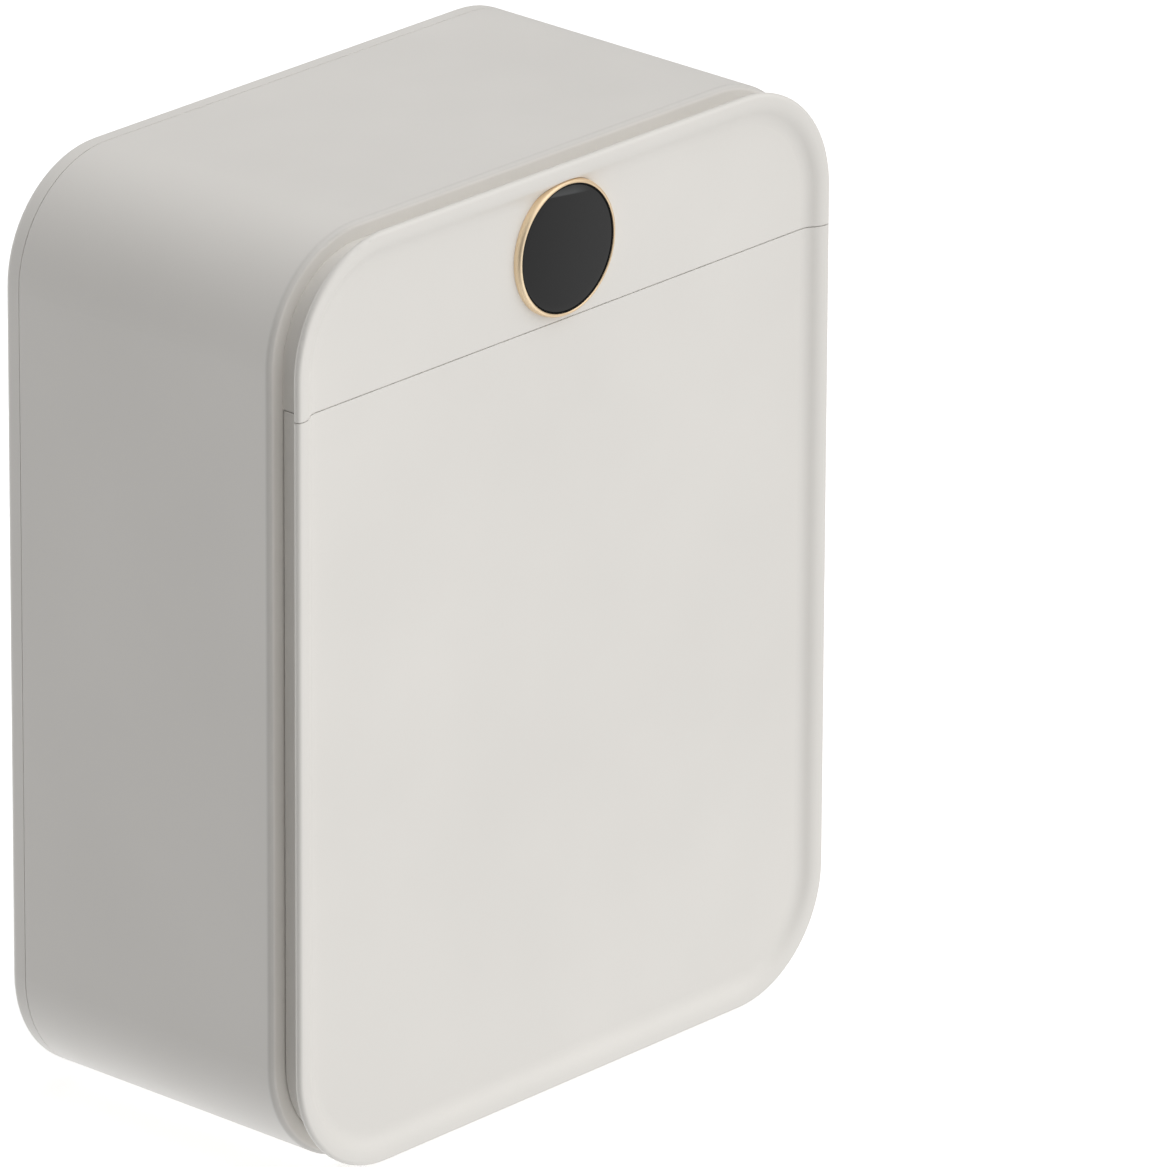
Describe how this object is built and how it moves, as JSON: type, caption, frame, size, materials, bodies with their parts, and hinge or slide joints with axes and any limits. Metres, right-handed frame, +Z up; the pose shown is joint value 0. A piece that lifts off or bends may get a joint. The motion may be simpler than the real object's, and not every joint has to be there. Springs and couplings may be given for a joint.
{
  "type": "clothes dryer",
  "caption": "Upright portable clothes dryer: rounded cabinet, dished door with finger groove, round touch display above, drying chamber with rail, hot air unit on top.",
  "frame": {"origin": "on the floor under the middle of the cabinet, at the bottom of the feet", "axes": "+Z up, +Y towards the back, -Y out of the door"},
  "size_m": [0.316, 0.162, 0.403],
  "materials": {
    "cabinet_plastic": "satin, fine moulded texture",
    "liner_plastic": "satin",
    "gold_ring": "brushed, pale gold",
    "display_glass": "polished, dark tinted",
    "black_plastic": "satin",
    "grey_plastic": "satin",
    "circuit_board": "solder-masked board",
    "gasket_rubber": "matt",
    "foot_rubber": "matt",
    "magnet_steel": "nickel plated",
    "hinge_steel": "brushed",
    "screw_steel": "zinc plated",
    "rail_chrome": "polished",
    "fin_aluminium": "mill finish",
    "heater_ceramic": "insulating sleeve",
    "coil_copper": "enamelled copper",
    "bearing_bronze": "sintered bronze",
    "filter_mesh": "pleated mesh",
    "sensor_white": "satin",
    "lead_brown": "insulated wire",
    "lead_red": "insulated wire",
    "lead_black": "insulated wire",
    "ribbon_grey": "flat ribbon cable"
  },
  "bodies": {
    "cabinet": {"outer_shell": "cabinet_plastic", "rear_cover": "cabinet_plastic", "control_panel": "cabinet_plastic", "display_bezel": "gold_ring", "display_lens": "display_glass", "display_cup": "black_plastic", "display_board": "circuit_board", "strike_plates": "magnet_steel", "hinge_brackets": "hinge_steel", "hinge_pins": "hinge_steel", "hinge_screws": "screw_steel", "chamber_liner": "liner_plastic", "liner_screws": "screw_steel", "hanging_rail": "rail_chrome", "rail_sockets": "liner_plastic", "air_duct": "grey_plastic", "heater_fins": "fin_aluminium", "heater_bars": "heater_ceramic", "thermal_cutout": "black_plastic", "fan_frame": "black_plastic", "fan_stator": "coil_copper", "fan_bearings": "bearing_bronze", "fan_screws": "screw_steel", "intake_filter": "filter_mesh", "chamber_sensor": "sensor_white", "door_switch": "black_plastic", "control_board": "circuit_board", "board_screws": "screw_steel", "power_inlet": "black_plastic", "inlet_pins": "rail_chrome", "inlet_leads": "lead_brown", "display_ribbon": "ribbon_grey", "rubber_feet": "foot_rubber", "case_screws": "screw_steel", "display_screws": "screw_steel", "panel_screws": "screw_steel", "duct_screws": "screw_steel", "heater_leads": "lead_red", "fan_leads": "lead_black"},
    "door": {"door_panel": "cabinet_plastic", "door_inner_panel": "liner_plastic", "door_gasket": "gasket_rubber", "door_magnets": "magnet_steel", "door_screws": "screw_steel", "hinge_arms": "hinge_steel"},
    "impeller": {"fan_impeller": "grey_plastic", "rotor_magnet": "magnet_steel", "fan_shaft": "rail_chrome"}
  },
  "joints": [
    {"name": "door_hinge", "type": "hinge", "parent": "cabinet", "child": "door", "pos_m": [0.1543, -0.0714, 0.19], "axis": [0, 0, 1], "range_deg": [0, 110]},
    {"name": "fan_spin", "type": "hinge", "parent": "cabinet", "child": "impeller", "pos_m": [0, 0, 0.364], "axis": [0, 0, 1], "continuous": true}
  ]
}
